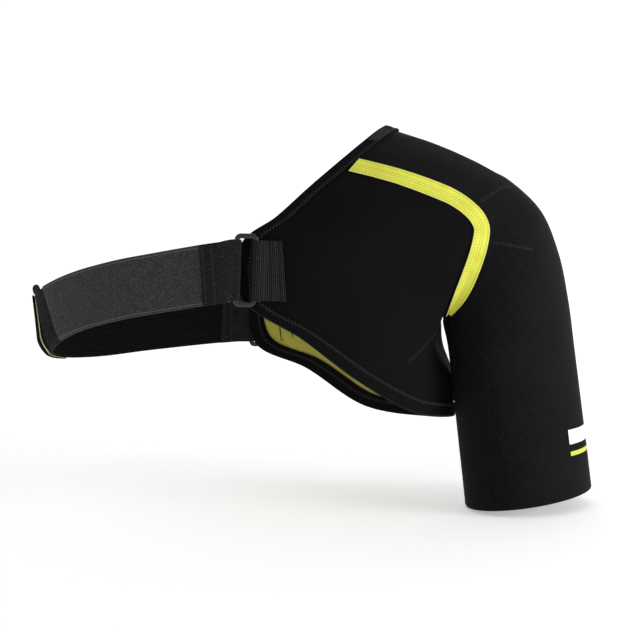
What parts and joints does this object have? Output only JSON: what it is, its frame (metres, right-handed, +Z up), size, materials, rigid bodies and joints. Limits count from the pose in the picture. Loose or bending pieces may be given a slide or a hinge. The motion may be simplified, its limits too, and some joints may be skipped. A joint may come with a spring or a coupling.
{
  "type": "shoulder brace",
  "caption": "Neoprene shoulder brace with an arm sleeve, chest and back panels, lime seam tape, and an adjustable chest strap held by plastic rings",
  "frame": {"origin": "inside the top of the shoulder cap, where the shoulder carries the brace", "axes": "X to the side of the sleeved arm, Y from the chest to the back, Z up"},
  "size_m": [0.4925, 0.2407, 0.3302],
  "materials": {
    "neoprene": "matt black knitted face on foam",
    "lime_lining": "lime terry lining",
    "lime_tape": "lime knitted tape with rows of stitches",
    "binding": "black folded binding tape",
    "ring_plastic": "black moulded plastic, slightly glossy",
    "webbing": "black ribbed webbing",
    "loop_fabric": "dark grey brushed loop fabric",
    "elastic": "black ribbed elastic",
    "pale_lining": "pale lime lining"
  },
  "bodies": {
    "root": {"sleeve": "neoprene", "front_panel": "neoprene", "back_panel": "neoprene", "front_lining": "lime_lining", "back_lining": "lime_lining", "armhole_tape_front": "lime_tape", "armhole_tape_back": "lime_tape", "neck_binding": "binding", "lower_binding": "binding", "neck_edge_tab": "binding", "front_ring": "ring_plastic", "back_ring": "ring_plastic", "front_ring_tab": "webbing", "back_ring_tab": "webbing", "front_webbing_loop": "webbing", "back_webbing_loop": "webbing", "front_strap": "loop_fabric", "back_strap": "elastic", "closure_tab": "neoprene", "closure_tab_lining": "pale_lining", "closure_tab_pull": "binding"}
  },
  "joints": []
}
